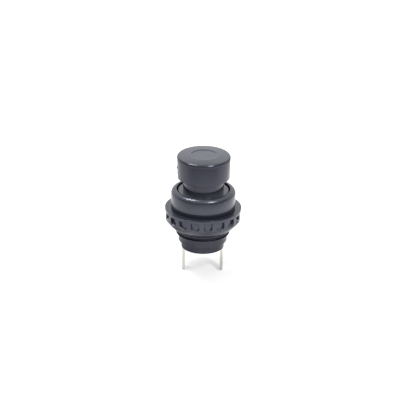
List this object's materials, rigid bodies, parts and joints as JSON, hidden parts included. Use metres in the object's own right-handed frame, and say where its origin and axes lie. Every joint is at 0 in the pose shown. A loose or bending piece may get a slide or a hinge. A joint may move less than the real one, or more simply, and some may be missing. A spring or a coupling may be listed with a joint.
{
  "type": "pushbutton switch",
  "caption": "Momentary panel-mount pushbutton switch: tall round button, round bezel, threaded barrel with a notched ring nut, two blade terminals.",
  "frame": {"origin": "on the button's axis, in the plane of the terminals' tips, which the switch stands on", "axes": "+Z along the button's axis towards the cap; +X from the left terminal to the right one; +Y to the back"},
  "size_m": [0.0228, 0.0228, 0.0371],
  "materials": {
    "housing_plastic": "semi-gloss moulded thermoplastic, charcoal",
    "cap_plastic": "semi-gloss moulded thermoplastic, charcoal",
    "plunger_plastic": "semi-gloss moulded thermoplastic, charcoal",
    "nut_plastic": "semi-gloss moulded thermoplastic, charcoal",
    "base_plastic": "satin moulded thermoset, near black",
    "gasket_rubber": "matt black rubber",
    "terminal_tin": "tin-plated brass, soft sheen",
    "contact_silver": "silver contact metal",
    "bridge_brass": "rolled brass",
    "spring_steel": "bright spring steel"
  },
  "bodies": {
    "housing": {"housing": "housing_plastic", "terminal_base": "base_plastic", "terminal_left": "terminal_tin", "terminal_right": "terminal_tin", "fixed_contact_left": "contact_silver", "fixed_contact_right": "contact_silver", "return_spring": "spring_steel"},
    "button": {"button_cap": "cap_plastic", "plunger": "plunger_plastic", "retaining_clip": "spring_steel", "bridge_clip": "spring_steel", "contact_spring": "spring_steel"},
    "bridge": {"contact_bridge": "bridge_brass", "moving_contact_left": "contact_silver", "moving_contact_right": "contact_silver"},
    "gasket": {"panel_gasket": "gasket_rubber"},
    "nut": {"ring_nut": "nut_plastic"}
  },
  "joints": [
    {"name": "button_press", "type": "slide", "parent": "housing", "child": "button", "axis": [0, 0, -1], "range_m": [0, 0.0022], "stiffness_N_per_m": 500, "springref_m": -0.0004, "deforming": ["return_spring", "contact_spring"]},
    {"name": "bridge_travel", "type": "slide", "parent": "housing", "child": "bridge", "axis": [0, 0, -1], "range_m": [0, 0.0014]},
    {"name": "nut_travel", "type": "slide", "parent": "housing", "child": "gasket", "axis": [0, 0, -1], "range_m": [0, 0.007]},
    {"name": "nut_turn", "type": "hinge", "parent": "gasket", "child": "nut", "pos_m": [0, 0, 0.01695], "axis": [0, 0, -1], "range_deg": [0, 2520]}
  ],
  "couplings": [
    {"joint": "bridge_travel", "follows": "button_press", "ratio": 0.636},
    {"joint": "nut_turn", "follows": "nut_travel", "rad_per_m": 6283.2}
  ]
}
